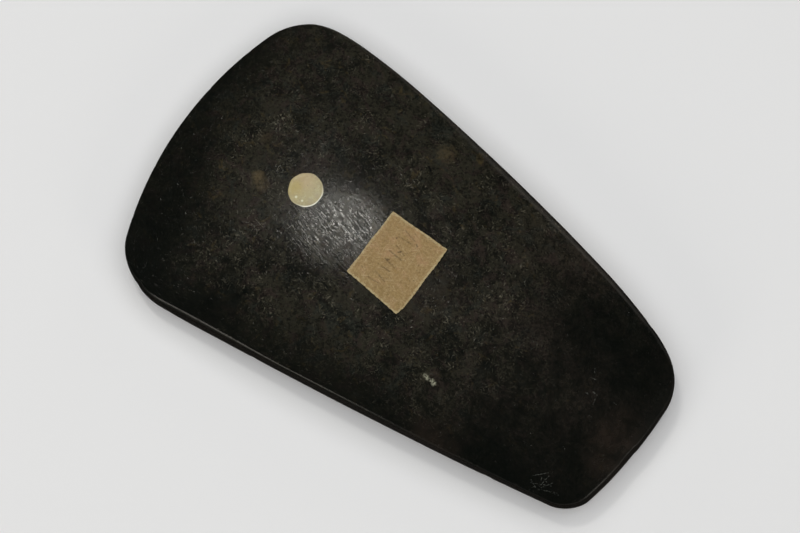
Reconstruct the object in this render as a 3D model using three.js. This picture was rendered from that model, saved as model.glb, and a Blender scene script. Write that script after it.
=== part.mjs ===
// A broad polished stone adze blade, lying on its flatter face, with a round sticker and a paper label
// glued on its domed face. Millimetres, +Z up. +X points to the cutting edge, and the origin is below the
// middle of the blade's outline, level with the surface it lies on.
import * as THREE from 'three';

// The blade: overall sizes
const bladeLength = 200;
const bladeThickness = 28;
const sideHeight = 13;            // the ground facet along the long sides, at its tallest
const edgeShare = 0.535;          // height of the cutting edge, as a share of the thickness
const edgeBlunt = 0.3;            // flat left along the cutting edge

// The blade's outline from above. Each long side is an arc between the two ends, given by its distance
// from the axis at each end and its bow between them. The straighter side is on +Y.
const edgeRadius = 133.5;
const edgeOffset = -0.9;          // the cutting edge's most forward point, off the axis
const buttRadius = 155.2;
const buttOffset = -8.3;
const straightSideAtEdge = 62.85;
const straightSideAtButt = 34.1;
const straightSideBow = 2.15;
const bowedSideAtEdge = 63.4;
const bowedSideAtButt = 31.6;
const bowedSideBow = 4.75;
const straightEdgeCorner = 15.5;  // corner radii, named by the side and the end that meet there
const straightButtCorner = 7.5;
const bowedButtCorner = 15.8;

// Two short flats ground across the bowed side's corners: how far from the end each one meets the
// side, how far it turns from the axis in degrees, and how softly it runs into its neighbours
const edgeFlatStart = 24;
const edgeFlatTurn = 5.2;
const edgeFlatEase = 7.5;
const edgeFlatNoseEase = 18.5;
const buttFlatStart = 19.3;
const buttFlatTurn = 23.2;
const buttFlatEase = 4.75;

// The two faces
const faceFallLength = 100;       // the domed face curves down to the cutting edge over this length
const undersideGrowLength = 50;   // the underside's curve to the sides grows over this length
const bevelLength = 36;           // the bevel ground into the underside behind the cutting edge
const buttThinning = 2;           // the domed face is this much lower at the butt
const restShare = 0.45;           // the flat of the underside, as a share of the way out to the sides
const undersideCurve = 1.7;       // power of the curve that rises from the flat to the side facet

// The side facet leans out towards its foot, most near the cutting edge's corners and at the butt
const sideLean = 0.7;
const edgeCornerLean = 0.9;
const edgeCornerLeanLength = 120;
const buttLean = 2;
const leanGrowLength = 8;

// Rounding of the long corners between the faces and the side facet
const straightSideRounding = 1.8;
const bowedSideRounding = 4;
const undersideRounding = 1.5;
const roundingShare = 0.45;       // no rounding takes more than this share of the facet's height

// The sticker and the label: places from the middle of the blade, on its domed face
const glueGap = 0.3;              // both follow the stone this far above it
const stickerDiameter = 12.4;
const stickerThickness = 0.25;
const stickerX = 47.9;
const stickerY = -2.8;
const labelLength = 23.3;         // along the blade
const labelWidth = 26.5;          // across it, on the side towards the cutting edge
const labelFlare = 2.1;           // how much wider it is on the side towards the butt
const labelThickness = 0.25;
const labelX = 6.9;
const labelY = -0.2;
const labelTurn = 1.5;            // degrees

// Mesh fineness
const columns = 112;              // round the blade
const faceRings = 9;
const roundingRings = 3;
const facetRings = 2;
const bevelRings = 5;
const flatRings = 4;
const leastRingStep = 3;          // mm between rings where the bevel starts
const cornerWeight = 15;          // mm of outline that one radian of turning counts for
const stickerColumns = 36;
const labelSteps = 8;             // along each side of the label
const patchRings = 4;
const outlineSamples = 1440;
const halvings = 36;              // steps of the search for the outline

const halfLength = bladeLength / 2;
const edgeHeight = bladeThickness * edgeShare;
const faceFall = (bladeThickness - sideHeight) / 2;
const straightSide = arcSide(straightSideAtButt, straightSideAtEdge, straightSideBow);
const bowedSide = arcSide(bowedSideAtButt, bowedSideAtEdge, bowedSideBow);

// An arc along one long side. It passes the butt end and the edge end at the given distances from the
// axis, and stands bow outside its chord. Returns the circle, as if the side were on +Y.
function arcSide(atButt, atEdge, bow) {
  const chord = Math.hypot(bladeLength, atEdge - atButt);
  const radius = (chord * chord / 4 + bow * bow) / (2 * bow);
  const inward = (radius - bow) / chord;
  return {
    x: inward * (atEdge - atButt),
    y: (atEdge + atButt) / 2 - inward * bladeLength,
    radius,
  };
}

// Distance of a side from the axis at x
function sideAt(side, x) {
  return side.y + Math.sqrt(side.radius ** 2 - (x - side.x) ** 2);
}

// Distance outside a circle, negative inside
function outsideCircle(x, y, circleX, circleY, radius) {
  return Math.hypot(x - circleX, y - circleY) - radius;
}

// Distance outside a flat that meets the bowed side at the given x and turns from the axis by degrees
function outsideFlat(x, y, meetX, degrees) {
  const normal = THREE.MathUtils.degToRad(degrees - 90);
  return (x - meetX) * Math.cos(normal) + (y + sideAt(bowedSide, meetX)) * Math.sin(normal);
}

// The larger of two distances, with the corner between them rounded to a radius
function roundedCorner(a, b, radius) {
  if (Math.min(a, b) <= -radius) return Math.max(a, b);
  return Math.hypot(a + radius, b + radius) - radius;
}

// The larger of two distances, eased into each other where they differ by less than width
function eased(a, b, width) {
  return Math.max(a, b) + Math.max(width - Math.abs(a - b), 0) ** 2 / (4 * width);
}

// Distance behind the arc of the cutting edge
function behindEdge(x, y) {
  return Math.max(0, -outsideCircle(x, y, halfLength - edgeRadius, edgeOffset, edgeRadius));
}

// Negative inside the blade's outline, and zero on it
function outsideOutline(x, y) {
  const edge = outsideCircle(x, y, halfLength - edgeRadius, edgeOffset, edgeRadius);
  const butt = outsideCircle(x, y, buttRadius - halfLength, buttOffset, buttRadius);
  const straight = outsideCircle(x, y, straightSide.x, straightSide.y, straightSide.radius);
  const bowed = outsideCircle(x, -y, bowedSide.x, bowedSide.y, bowedSide.radius);
  const edgeFlat = outsideFlat(x, y, halfLength - edgeFlatStart, edgeFlatTurn);
  const buttFlat = outsideFlat(x, y, buttFlatStart - halfLength, -buttFlatTurn);
  const nose = eased(edge, edgeFlat, edgeFlatNoseEase);
  const corners = Math.max(
    roundedCorner(edge, straight, straightEdgeCorner),
    roundedCorner(butt, straight, straightButtCorner),
    roundedCorner(butt, bowed, bowedButtCorner),
    eased(nose, bowed, edgeFlatEase));
  return eased(corners, buttFlat, buttFlatEase);
}

// -1 on the bowed side, 0 on the middle line and 1 on the straighter side
function across(x, y) {
  const left = sideAt(straightSide, x);
  const right = sideAt(bowedSide, x);
  return (2 * y - left + right) / (left + right);
}

// 0 from the middle on to the cutting edge, rising to 1 at the butt
function towardsButt(x) {
  return Math.max(0, -x) / halfLength;
}

// 0 at the middle of the blade, and about 1 on the long sides and the butt
function outward(x, y) {
  return (across(x, y) ** 4 + towardsButt(x) ** 4) ** 0.25;
}

// 0 at the start of a stretch and 1 from its length on, levelling off smoothly
function grown(distance, length) {
  return 1 - Math.max(0, 1 - distance / length) ** 2;
}

// Height of the domed face: it falls to the cutting edge, to the sides and, a little, to the butt
function faceHeight(x, y) {
  const grownFace = grown(behindEdge(x, y), faceFallLength);
  const edgeFall = (bladeThickness - edgeHeight - edgeBlunt) * (1 - grownFace);
  const sideFall = faceFall * grownFace * outward(x, y) ** 2;
  return bladeThickness - edgeFall - sideFall - buttThinning * towardsButt(x) ** 2;
}

// Height of the underside: flat in the middle, curved up to the side facet, with the bevel ground up
// to the cutting edge
function undersideHeight(x, y) {
  const behind = behindEdge(x, y);
  const beyondFlat = Math.max(0, outward(x, y) - restShare) / (1 - restShare);
  const curve = faceFall * grown(behind, undersideGrowLength) * beyondFlat ** undersideCurve;
  const bevel = edgeHeight * Math.max(0, 1 - behind / bevelLength);
  return Math.cbrt(curve ** 3 + bevel ** 3);
}

// How far the side facet's head stands inside its foot
function facetLean(x, y) {
  const behind = behindEdge(x, y);
  const nearEdge = edgeCornerLean * Math.max(0, 1 - behind / edgeCornerLeanLength);
  const nearButt = (buttLean - sideLean) * towardsButt(x) ** 4;
  return (sideLean + nearEdge + nearButt) * grown(behind, leanGrowLength);
}

// The furthest distance from the middle, in a direction, at which a test still holds
function reach(direction, holds) {
  let inside = 0;
  let outside = bladeLength;
  for (let step = 0; step < halvings; step += 1) {
    const middle = (inside + outside) / 2;
    if (holds(middle * Math.cos(direction), middle * Math.sin(direction))) inside = middle;
    else outside = middle;
  }
  return inside;
}

function outlineReach(direction) {
  return reach(direction, (x, y) => outsideOutline(x, y) < 0);
}

// Points all round the outline, and a little past the first one
function outlinePoints() {
  const points = [];
  for (let i = 0; i <= outlineSamples + 1; i += 1) {
    const direction = i / outlineSamples * 2 * Math.PI;
    const radius = outlineReach(direction);
    points.push({ direction, x: radius * Math.cos(direction), y: radius * Math.sin(direction) });
  }
  return points;
}

// Directions round the blade, closer together where the outline turns
function outlineDirections(points, count) {
  const heading = (i) => Math.atan2(points[i + 1].y - points[i].y, points[i + 1].x - points[i].x);
  const measure = [0];
  for (let i = 0; i < outlineSamples; i += 1) {
    const step = Math.hypot(points[i + 1].x - points[i].x, points[i + 1].y - points[i].y);
    const turn = Math.abs(Math.sin(heading(i + 1) - heading(i)));
    measure.push(measure[i] + step + cornerWeight * turn);
  }
  const directions = [];
  let i = 0;
  for (let column = 0; column < count; column += 1) {
    const wanted = column / count * measure[outlineSamples];
    while (measure[i + 1] < wanted) i += 1;
    const share = (wanted - measure[i]) / (measure[i + 1] - measure[i]);
    directions.push(THREE.MathUtils.lerp(points[i].direction, points[i + 1].direction, share));
  }
  return directions;
}

// Points of the rounding that leaves start for a corner and ends at end, without start itself
function rounding(start, corner, end, count) {
  const curve = new THREE.QuadraticBezierCurve(start, corner, end);
  return curve.getPoints(count).slice(1);
}

// The blade's profile in one direction: distance from the middle against height, from the domed face
// over the side facet to the rim of the underside's flat
function bladeProfile(direction) {
  const cos = Math.cos(direction);
  const sin = Math.sin(direction);
  const onFace = (radius) => new THREE.Vector2(radius, faceHeight(radius * cos, radius * sin));
  const onUnderside = (radius) => new THREE.Vector2(radius, undersideHeight(radius * cos, radius * sin));
  const footRadius = outlineReach(direction);
  const footX = footRadius * cos;
  const footY = footRadius * sin;
  const foot = onUnderside(footRadius);
  const head = onFace(footRadius - facetLean(footX, footY));
  const height = head.y - foot.y;

  const side = across(footX, footY);
  const headRounding = Math.min(
    THREE.MathUtils.lerp(bowedSideRounding, straightSideRounding, (1 + side) / 2),
    roundingShare * height);
  const footRounding = Math.min(undersideRounding, roundingShare * height);
  const belowHead = head.clone().lerp(foot, headRounding / height);
  const aboveFoot = foot.clone().lerp(head, footRounding / height);

  const profile = [];
  for (let ring = 1; ring <= faceRings; ring += 1) {
    profile.push(onFace((head.x - headRounding) * Math.sin(ring / faceRings * Math.PI / 2)));
  }
  profile.push(...rounding(profile[profile.length - 1], head, belowHead, roundingRings));
  for (let ring = 1; ring <= facetRings; ring += 1) {
    profile.push(belowHead.clone().lerp(aboveFoot, ring / facetRings));
  }
  const underRim = onUnderside(footRadius - footRounding);
  profile.push(...rounding(aboveFoot, foot, underRim, roundingRings - 1));

  // One ring follows the line where the bevel starts, and the innermost ring lies in the flat
  const flatRadius = reach(direction, (x, y) => undersideHeight(x, y) === 0);
  const bevelRadius = reach(direction, (x, y) => behindEdge(x, y) > bevelLength);
  const meetsBevel = bevelRadius < underRim.x - leastRingStep;
  const creaseRadius = meetsBevel ? Math.max(bevelRadius, flatRadius) : (underRim.x + flatRadius) / 2;
  const innerRadius = Math.min(flatRadius, creaseRadius - leastRingStep);
  for (let ring = 1; ring <= bevelRings; ring += 1) {
    profile.push(onUnderside(THREE.MathUtils.lerp(underRim.x, creaseRadius, ring / bevelRings)));
  }
  for (let ring = 1; ring <= flatRings; ring += 1) {
    profile.push(onUnderside(THREE.MathUtils.lerp(creaseRadius, innerRadius, ring / flatRings)));
  }
  return profile.map((point) => new THREE.Vector3(point.x * cos, point.x * sin, point.y));
}

// A closed skin over columns of points that run from the top outwards, over the rim and back below.
// Each end is closed to one point at the middle.
function closedSkin(profiles, top, bottom) {
  const rings = profiles[0].length;
  const positions = [top, bottom, ...profiles.flat()].flatMap((point) => point.toArray());
  const vertex = (column, ring) => 2 + (column % profiles.length) * rings + ring;
  const faces = [];
  for (let column = 0; column < profiles.length; column += 1) {
    faces.push(0, vertex(column, 0), vertex(column + 1, 0));
    for (let ring = 0; ring < rings - 1; ring += 1) {
      const corners = [vertex(column, ring), vertex(column, ring + 1),
        vertex(column + 1, ring + 1), vertex(column + 1, ring)];
      faces.push(corners[0], corners[1], corners[2], corners[0], corners[2], corners[3]);
    }
    faces.push(1, vertex(column + 1, rings - 1), vertex(column, rings - 1));
  }
  const geometry = new THREE.BufferGeometry();
  geometry.setAttribute('position', new THREE.Float32BufferAttribute(positions, 3));
  geometry.setIndex(faces);
  geometry.computeVertexNormals();
  return geometry;
}

function bladeGeometry(outline) {
  const profiles = outlineDirections(outline, columns).map(bladeProfile);
  return closedSkin(profiles, new THREE.Vector3(0, 0, faceHeight(0, 0)), new THREE.Vector3(0, 0, 0));
}

// A thin patch that lies on the domed face. Its rim is a loop of points in plan, counterclockwise, and
// it keeps the glue gap to the stone.
function patchGeometry(rim, middleX, middleY, thickness) {
  const onFace = (x, y, lift) => new THREE.Vector3(x, y, faceHeight(x, y) + glueGap + lift);
  const profiles = rim.map((point) => {
    const at = (share, lift) => onFace(
      THREE.MathUtils.lerp(middleX, point.x, share), THREE.MathUtils.lerp(middleY, point.y, share), lift);
    const upper = [];
    const lower = [];
    for (let ring = 1; ring <= patchRings; ring += 1) {
      upper.push(at(ring / patchRings, thickness));
      lower.unshift(at(ring / patchRings, 0));
    }
    return [...upper, ...lower];
  });
  return closedSkin(profiles, onFace(middleX, middleY, thickness), onFace(middleX, middleY, 0));
}

function stickerGeometry() {
  const circle = new THREE.EllipseCurve(stickerX, stickerY, stickerDiameter / 2, stickerDiameter / 2);
  const rim = circle.getPoints(stickerColumns).slice(0, -1);
  return patchGeometry(rim, stickerX, stickerY, stickerThickness);
}

// The label is a four-sided piece, wider towards the butt
function labelGeometry() {
  const middle = new THREE.Vector2(labelX, labelY);
  const turn = THREE.MathUtils.degToRad(labelTurn);
  const corner = (alongX, acrossY) => middle.clone()
    .add(new THREE.Vector2(alongX * labelLength / 2, acrossY).rotateAround(new THREE.Vector2(), turn));
  const corners = [
    corner(1, labelWidth / 2),
    corner(-1, labelWidth / 2 + labelFlare),
    corner(-1, -labelWidth / 2),
    corner(1, -labelWidth / 2),
  ];
  const rim = corners.flatMap((start, i) => {
    const side = new THREE.LineCurve(start, corners[(i + 1) % corners.length]);
    return side.getPoints(labelSteps).slice(0, -1);
  });
  return patchGeometry(rim, labelX, labelY, labelThickness);
}

function piece(name, geometry, color, roughness) {
  const material = new THREE.MeshStandardMaterial({ color, roughness, metalness: 0 });
  const mesh = new THREE.Mesh(geometry, material);
  mesh.name = name;
  return mesh;
}

const outline = outlinePoints();
const group = new THREE.Group();
group.add(
  piece('stone_blade', bladeGeometry(outline), 0x1f1e1a, 0.3),
  piece('round_sticker', stickerGeometry(), 0xaea37d, 0.45),
  piece('paper_label', labelGeometry(), 0x8f7852, 0.85),
);

// The outline isn't quite even, so the middle of its box is brought to the origin
const middle = new THREE.Box2().setFromPoints(outline).getCenter(new THREE.Vector2());
group.position.set(-middle.x, -middle.y, 0);

export default group;
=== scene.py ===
"""The looks of a polished stone adze blade, with the round sticker and the paper label glued on it.

Run as a script in Blender 4.5. Metres, +X to the cutting edge, +Y to the straighter side, +Z up.
"""
import math
from functools import reduce

import bpy
import numpy as np
from bpy.props import FloatProperty, FloatVectorProperty, IntProperty, PointerProperty
from mathutils import Matrix, Vector


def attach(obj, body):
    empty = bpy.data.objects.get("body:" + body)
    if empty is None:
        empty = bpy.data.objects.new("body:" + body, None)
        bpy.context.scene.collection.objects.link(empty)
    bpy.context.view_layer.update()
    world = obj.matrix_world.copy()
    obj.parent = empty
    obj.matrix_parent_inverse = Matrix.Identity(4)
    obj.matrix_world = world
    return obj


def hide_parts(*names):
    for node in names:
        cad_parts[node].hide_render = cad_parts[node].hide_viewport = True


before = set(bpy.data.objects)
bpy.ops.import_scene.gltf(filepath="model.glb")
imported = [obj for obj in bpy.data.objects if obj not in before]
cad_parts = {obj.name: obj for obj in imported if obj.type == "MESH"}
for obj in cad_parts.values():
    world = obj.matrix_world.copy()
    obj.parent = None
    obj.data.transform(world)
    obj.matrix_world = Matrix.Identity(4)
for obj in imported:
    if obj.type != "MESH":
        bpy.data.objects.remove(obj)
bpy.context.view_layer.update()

MM = 0.001
TINY = 1e-6                     # what is smaller counts as nothing
BODY = "root"

bl_info = {
    "name": "Stone adze",
    "version": (1, 0, 0),
    "blender": (4, 5, 0),
    "location": "View3D > Sidebar > Adze",
    "description": "A polished stone adze blade with its sticker, its label and a plain stage",
    "category": "Add Mesh",
}


def number(name, description, default, **kind):
    """A plain number property."""
    return FloatProperty(name=name, description=description, default=default, **kind)


def length(name, description, default_mm):
    """A length property in metres, with its default in millimetres."""
    return number(name, description, default_mm * MM, subtype="DISTANCE", unit="LENGTH",
                  precision=5)


def colour(name, description, default):
    """A linear colour property."""
    return FloatVectorProperty(name=name, description=description, default=default,
                               subtype="COLOR", size=3, min=0.0, max=1.0)


class AdzeBladeSettings(bpy.types.PropertyGroup):
    """Sizes of the ground and polished stone."""
    blade_length: length("Length", "Cutting edge to butt", 200)
    thickness: length("Thickness", "Underside to the top of the domed face", 28)
    side_height: length("Side facet", "Height of the ground side facet at its tallest", 13)
    edge_share: number("Edge height", "As a share of the thickness", 0.535, min=0.0, max=1.0)
    edge_blunt: length("Edge flat", "Flat left along the cutting edge", 0.3)
    edge_radius: length("Edge radius", "Arc of the cutting edge from above", 133.5)
    edge_offset: length("Edge offset", "Foremost point of the cutting edge, off the axis", -0.9)
    butt_radius: length("Butt radius", "Arc of the butt from above", 155.2)
    butt_offset: length("Butt offset", "Rearmost point of the butt, off the axis", -8.3)
    straight_at_edge: length("Straight side at edge", "Its distance from the axis there", 62.85)
    straight_at_butt: length("Straight side at butt", "Its distance from the axis there", 34.1)
    straight_bow: length("Straight side bow", "How far it bows out", 2.15)
    bowed_at_edge: length("Bowed side at edge", "Its distance from the axis there", 63.4)
    bowed_at_butt: length("Bowed side at butt", "Its distance from the axis there", 31.6)
    bowed_bow: length("Bowed side bow", "How far it bows out", 4.75)
    straight_edge_corner: length("Corner, straight side and edge", "Its radius", 15.5)
    straight_butt_corner: length("Corner, straight side and butt", "Its radius", 7.5)
    bowed_butt_corner: length("Corner, bowed side and butt", "Its radius", 15.8)
    edge_flat_start: length("Edge flat start", "Where the flat by the edge meets the side", 24)
    edge_flat_ease: length("Edge flat ease", "How softly it runs into the side", 7.5)
    edge_flat_nose_ease: length("Edge flat nose ease", "How softly it runs into the edge", 18.5)
    butt_flat_start: length("Butt flat start", "Where the flat by the butt meets the side", 19.3)
    butt_flat_ease: length("Butt flat ease", "How softly it runs into its neighbours", 4.75)
    face_fall_length: length("Face fall", "The domed face falls to the edge over this length", 100)
    underside_grow_length: length("Underside growth", "Its side curve grows over this length", 50)
    bevel_length: length("Bevel", "Bevel ground into the underside behind the edge", 36)
    butt_thinning: length("Butt thinning", "How much lower the domed face is at the butt", 2)
    side_lean: length("Side lean", "Head of the side facet inside its foot", 0.35)
    corner_lean: length("Corner lean", "Further lean by the edge's corners", 0.9)
    butt_lean: length("Butt lean", "Lean of the facet at the butt", 1.1)
    straight_rounding: length("Straight side rounding", "Rounding along the facet's head", 1.1)
    bowed_rounding: length("Bowed side rounding", "Rounding along the facet's head", 3.2)
    underside_rounding: length("Underside rounding", "Rounding along the facet's foot", 1.5)
    ripple_height: length("Ripple", "Height of the grinding ripple on the polished faces", 0.035)
    columns: IntProperty(name="Columns", description="Mesh columns round the blade", default=640,
                         min=64)


class AdzePaperSettings(bpy.types.PropertyGroup):
    """Sizes and places of the two glued papers."""
    sticker_diameter: length("Sticker diameter", "Across the round sticker", 12.4)
    sticker_x: length("Sticker X", "Its middle along the blade", 47.9)
    sticker_y: length("Sticker Y", "Its middle across the blade", -2.8)
    sticker_lift: length("Sticker lift", "Its upper face above the stone", 0.3)
    label_length: length("Label length", "Along the blade", 23.3)
    label_width: length("Label width", "Across the blade, towards the cutting edge", 26.5)
    label_x: length("Label X", "Its middle along the blade", 6.9)
    label_y: length("Label Y", "Its middle across the blade", -0.2)
    label_lift: length("Label lift", "Its upper face above the stone", 0.28)


class AdzeColourSettings(bpy.types.PropertyGroup):
    """Colours of the stone, the papers and the stage, as linear light."""
    stone_dark: colour("Stone, dark", "Polished ground of the stone", (0.0021, 0.0028, 0.0023))
    stone_olive: colour("Stone, olive", "Olive grey ground", (0.0200, 0.0188, 0.0128))
    stone_plum: colour("Stone, plum", "Purplish brown ground", (0.0222, 0.0170, 0.0138))
    stone_green: colour("Stone, green", "Greenish grey ground", (0.0172, 0.0184, 0.0144))
    stone_yellow: colour("Stone, yellow", "Yellowish tan ground", (0.0400, 0.0310, 0.0150))
    stone_stain: colour("Stone, stain", "Yellow stains", (0.070, 0.053, 0.027))
    stone_brown: colour("Stone, brown", "Rusty patches", (0.0225, 0.0158, 0.0118))
    crystal: colour("Crystals", "Pale laths and flecks", (0.100, 0.092, 0.066))
    scratch: colour("Scratches", "Dust in the scratches", (0.16, 0.17, 0.15))
    paint: colour("Paint", "Small mark of pale paint", (0.27, 0.27, 0.20))
    cream: colour("Sticker", "Cream of the round sticker", (0.340, 0.297, 0.150))
    tan: colour("Label", "Tan of the paper label", (0.255, 0.171, 0.071))
    pencil: colour("Pencil", "Faded pencil on the label", (0.105, 0.068, 0.032))
    floor: colour("Floor", "The pale floor", (0.765, 0.775, 0.79))


class AdzeStageSettings(bpy.types.PropertyGroup):
    """The camera and the lights."""
    lens: number("Lens", "Focal length", 100.0, unit="CAMERA")
    azimuth: number("Azimuth", "Round the upright, 0 looks along +Y", math.radians(215.6),
                    subtype="ANGLE")
    elevation: number("Elevation", "Above the horizon", math.radians(80.0), subtype="ANGLE")
    distance: length("Distance", "From the aim to the camera", 788)
    aim: FloatVectorProperty(name="Aim", description="Point at the middle of the view",
                             default=(6.17 * MM, -1.49 * MM, 14 * MM), subtype="XYZ", unit="LENGTH")
    key_power: number("Key", "Power of the soft light over the face", 1.28, subtype="POWER")
    side_power: number("Sides", "Power of each low side light", 2.2, subtype="POWER")


# The form

EDGE_FLAT_TURN = math.radians(5.2)      # of the flat by the edge, from the axis
BUTT_FLAT_TURN = math.radians(-23.2)    # and of the flat by the butt
REST_SHARE = 0.45               # the underside is flat up to this share of its half width
UNDERSIDE_CURVE = 1.7           # the power of its rise beyond that
CORNER_LEAN_LENGTH = 120 * MM   # behind the edge, over which the corner lean fades
LEAN_GROW_LENGTH = 8 * MM       # behind the edge, over which any lean grows
ROUNDING_SHARE = 0.45           # a rounding takes up at most this share of the facet
CORNER_WEIGHT = 15 * MM         # outline length that a turn by one radian counts as
OUTLINE_SAMPLES = 2880
SEARCH_REACH = 200 * MM         # every outline lies within this distance
HALVINGS = 40


class BladeForm:
    """The blade's surface as formulas in plan, worked out from its sizes."""

    def __init__(self, sizes):
        self.sizes = sizes
        self.half = sizes.blade_length / 2
        self.edge_height = sizes.thickness * sizes.edge_share
        self.fall = (sizes.thickness - sizes.side_height) / 2
        self.edge_arc = (self.half - sizes.edge_radius, sizes.edge_offset, sizes.edge_radius)
        self.butt_arc = (sizes.butt_radius - self.half, sizes.butt_offset, sizes.butt_radius)
        self.straight = self.side_arc(sizes.straight_at_butt, sizes.straight_at_edge,
                                      sizes.straight_bow)
        self.bowed = self.side_arc(sizes.bowed_at_butt, sizes.bowed_at_edge, sizes.bowed_bow)

    def side_arc(self, at_butt, at_edge, bow):
        """Centre x, y and radius of a circle through both ends that stands bow off their chord."""
        chord = math.hypot(2 * self.half, at_edge - at_butt)
        radius = (chord * chord / 4 + bow * bow) / (2 * bow)
        inward = (radius - bow) / chord
        middle_y = (at_edge + at_butt) / 2
        return inward * (at_edge - at_butt), middle_y - inward * 2 * self.half, radius

    @staticmethod
    def side_at(arc, x):
        """Distance of a side from the axis: centre y plus the circle's height at x."""
        return arc[1] + np.sqrt(arc[2] ** 2 - (x - arc[0]) ** 2)

    @staticmethod
    def outside(arc, x, y):
        """Distance from the circle's centre less its radius."""
        return np.hypot(x - arc[0], y - arc[1]) - arc[2]

    def outside_flat(self, x, y, meet_x, turn):
        """Distance outside a line that meets the bowed side at meet_x, turned from the axis."""
        normal = turn - math.pi / 2
        meet_y = -self.side_at(self.bowed, meet_x)
        return (x - meet_x) * math.cos(normal) + (y - meet_y) * math.sin(normal)

    def outline(self, x, y):
        """The largest distance outside any side, with its corners rounded or eased."""
        sizes = self.sizes
        edge = self.outside(self.edge_arc, x, y)
        butt = self.outside(self.butt_arc, x, y)
        straight = self.outside(self.straight, x, y)
        bowed = self.outside(self.bowed, x, -y)
        edge_flat = self.outside_flat(x, y, self.half - sizes.edge_flat_start, EDGE_FLAT_TURN)
        butt_flat = self.outside_flat(x, y, sizes.butt_flat_start - self.half, BUTT_FLAT_TURN)
        nose = eased(edge, edge_flat, sizes.edge_flat_nose_ease)
        corners = np.maximum.reduce([
            rounded_corner(edge, straight, sizes.straight_edge_corner),
            rounded_corner(butt, straight, sizes.straight_butt_corner),
            rounded_corner(butt, bowed, sizes.bowed_butt_corner),
            eased(nose, bowed, sizes.edge_flat_ease)])
        return eased(corners, butt_flat, sizes.butt_flat_ease)

    def behind_edge(self, x, y):
        """Distance inside the cutting edge's arc, never below zero."""
        return np.maximum(-self.outside(self.edge_arc, x, y), 0)

    def across(self, x, y):
        """-1 on the bowed side, 1 on the straighter side, in a straight line between them."""
        left = self.side_at(self.straight, x)
        right = self.side_at(self.bowed, x)
        return (2 * y - left + right) / (left + right)

    def towards_butt(self, x):
        """0 up to the middle, then a straight rise to 1 at the butt."""
        return np.maximum(-x, 0) / self.half

    def outward(self, x, y):
        """Fourth root of the sum of fourth powers of across and towards_butt."""
        return (self.across(x, y) ** 4 + self.towards_butt(x) ** 4) ** 0.25

    def face(self, x, y):
        """Height of the domed face: thickness less its falls to edge, sides and butt."""
        sizes = self.sizes
        grown_face = grown(self.behind_edge(x, y), sizes.face_fall_length)
        edge_fall = (sizes.thickness - self.edge_height - sizes.edge_blunt) * (1 - grown_face)
        side_fall = self.fall * grown_face * self.outward(x, y) ** 2
        butt_fall = sizes.butt_thinning * self.towards_butt(x) ** 2
        return sizes.thickness - edge_fall - side_fall - butt_fall

    def underside(self, x, y):
        """Height of the underside: cube root of the summed cubes of side curve and bevel."""
        sizes = self.sizes
        behind = self.behind_edge(x, y)
        beyond = np.maximum(self.outward(x, y) - REST_SHARE, 0) / (1 - REST_SHARE)
        curve = self.fall * grown(behind, sizes.underside_grow_length) * beyond ** UNDERSIDE_CURVE
        bevel = self.edge_height * np.maximum(1 - behind / sizes.bevel_length, 0)
        return np.cbrt(curve ** 3 + bevel ** 3)

    def lean(self, x, y):
        """How far the facet's head stands inside its foot: three leans, grown from the edge."""
        sizes = self.sizes
        behind = self.behind_edge(x, y)
        near_edge = sizes.corner_lean * np.maximum(1 - behind / CORNER_LEAN_LENGTH, 0)
        near_butt = (sizes.butt_lean - sizes.side_lean) * self.towards_butt(x) ** 4
        return (sizes.side_lean + near_edge + near_butt) * grown(behind, LEAN_GROW_LENGTH)


def rounded_corner(a, b, radius):
    """The larger of two distances, with a round corner where both lie within the radius."""
    rounded = np.hypot(np.maximum(a + radius, 0), np.maximum(b + radius, 0)) - radius
    return np.where(np.minimum(a, b) <= -radius, np.maximum(a, b), rounded)


def eased(a, b, width):
    """The larger of two distances plus a parabola where they differ by less than width."""
    return np.maximum(a, b) + np.maximum(width - np.abs(a - b), 0) ** 2 / (4 * width)


def grown(distance, run):
    """0 at the start, 1 from run on, as an upside-down parabola."""
    return 1 - np.maximum(1 - distance / run, 0) ** 2


def smooth(values):
    """3v squared less 2v cubed, of values held between 0 and 1."""
    held = np.clip(values, 0, 1)
    return held * held * (3 - 2 * held)


def reach(directions, holds):
    """The furthest distance along each direction at which a test holds, by halving."""
    cosines, sines = np.cos(directions), np.sin(directions)
    inside = np.zeros_like(directions)
    outside = np.full_like(directions, SEARCH_REACH)
    for _ in range(HALVINGS):
        middle = (inside + outside) / 2
        held = holds(middle * cosines, middle * sines)
        inside = np.where(held, middle, inside)
        outside = np.where(held, outside, middle)
    return inside


def outline_directions(form, count):
    """Directions at equal steps of outline length plus a weight for each radian of turning."""
    directions = np.linspace(0, 2 * math.pi, OUTLINE_SAMPLES + 1)
    radii = reach(directions, lambda x, y: form.outline(x, y) < 0)
    x, y = radii * np.cos(directions), radii * np.sin(directions)
    steps = np.hypot(np.diff(x), np.diff(y))
    headings = np.unwrap(np.arctan2(np.diff(y), np.diff(x)))
    turns = np.abs(np.diff(np.append(headings, headings[0] + 2 * math.pi)))
    measure = np.concatenate([[0], np.cumsum(steps + CORNER_WEIGHT * turns)])
    return np.interp(np.arange(count) / count * measure[-1], measure, directions)


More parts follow.
